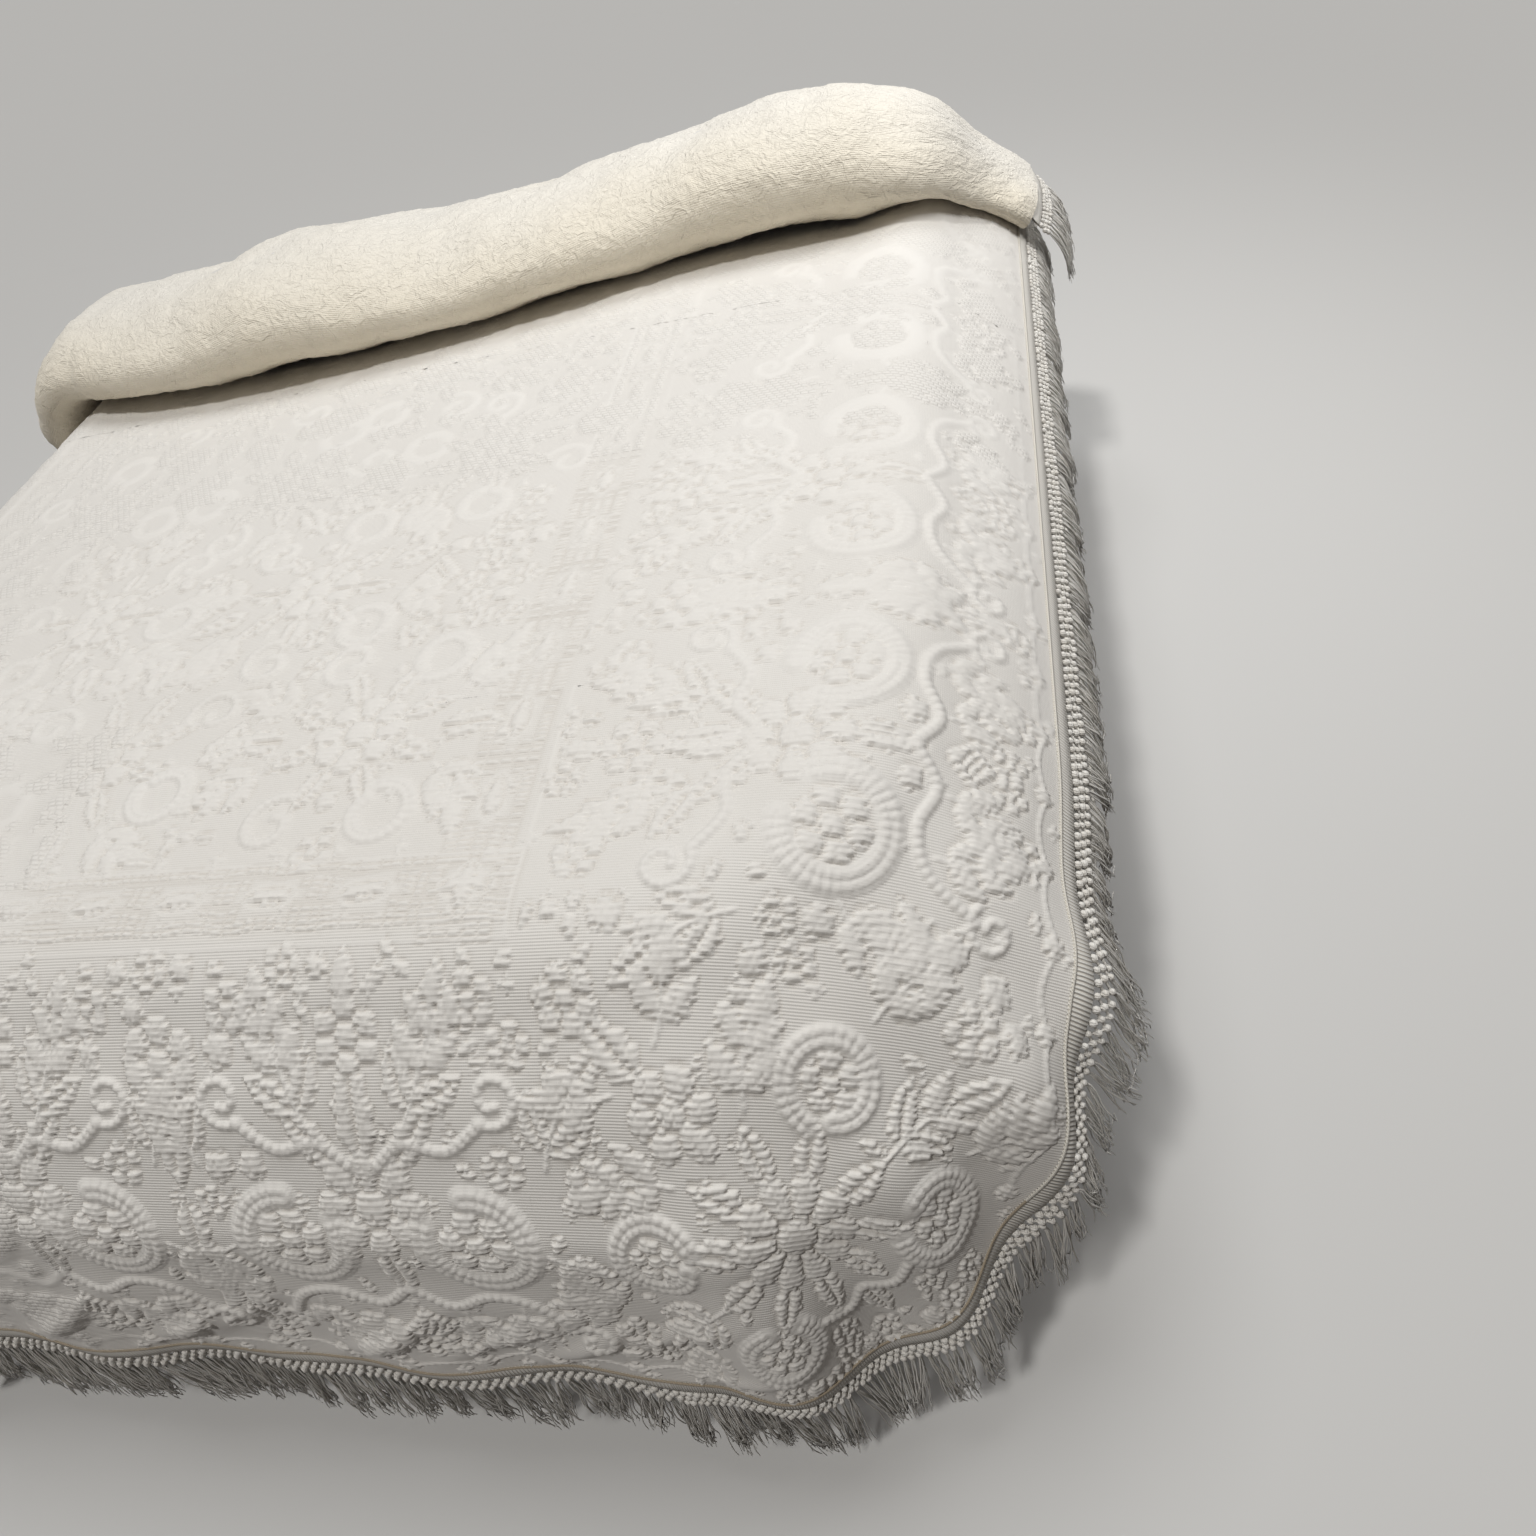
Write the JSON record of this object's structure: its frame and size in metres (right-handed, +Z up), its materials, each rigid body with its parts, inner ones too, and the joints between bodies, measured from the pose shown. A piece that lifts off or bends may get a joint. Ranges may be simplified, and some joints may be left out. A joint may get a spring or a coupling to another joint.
{
  "type": "matelasse bedspread with a knotted fringe draped over a mattress on a plain bed base",
  "caption": "Puffed cotton bedspread with a knotted fringe, draped over a bed's soft edges and rounded corners, its head end turned back in a loose roll; plain mattress and base beneath.",
  "frame": {"origin": "middle of the bounding box at the floor", "axes": "+X across the bed to the side where the spread hangs short, +Y from the foot to the head, +Z up"},
  "size_m": [2.1005, 2.0353, 0.8681],
  "materials": {
    "spread_cotton": "matt woven cotton, finely ribbed ground with puffed cells, undyed cream",
    "fringe_yarn": "loose plied cotton yarn knotted to a ribbed heading, undyed cream",
    "mattress_ticking": "plain woven ticking, matt",
    "base_cloth": "plain upholstery cloth, matt"
  },
  "bodies": {
    "root": {"spread": "spread_cotton", "fringe_foot": "fringe_yarn", "fringe_foot_left": "fringe_yarn", "fringe_foot_right": "fringe_yarn", "fringe_left": "fringe_yarn", "fringe_right": "fringe_yarn", "fringe_turnback_left": "fringe_yarn", "fringe_turnback_right": "fringe_yarn", "mattress": "mattress_ticking", "bed_base": "base_cloth"}
  },
  "joints": []
}
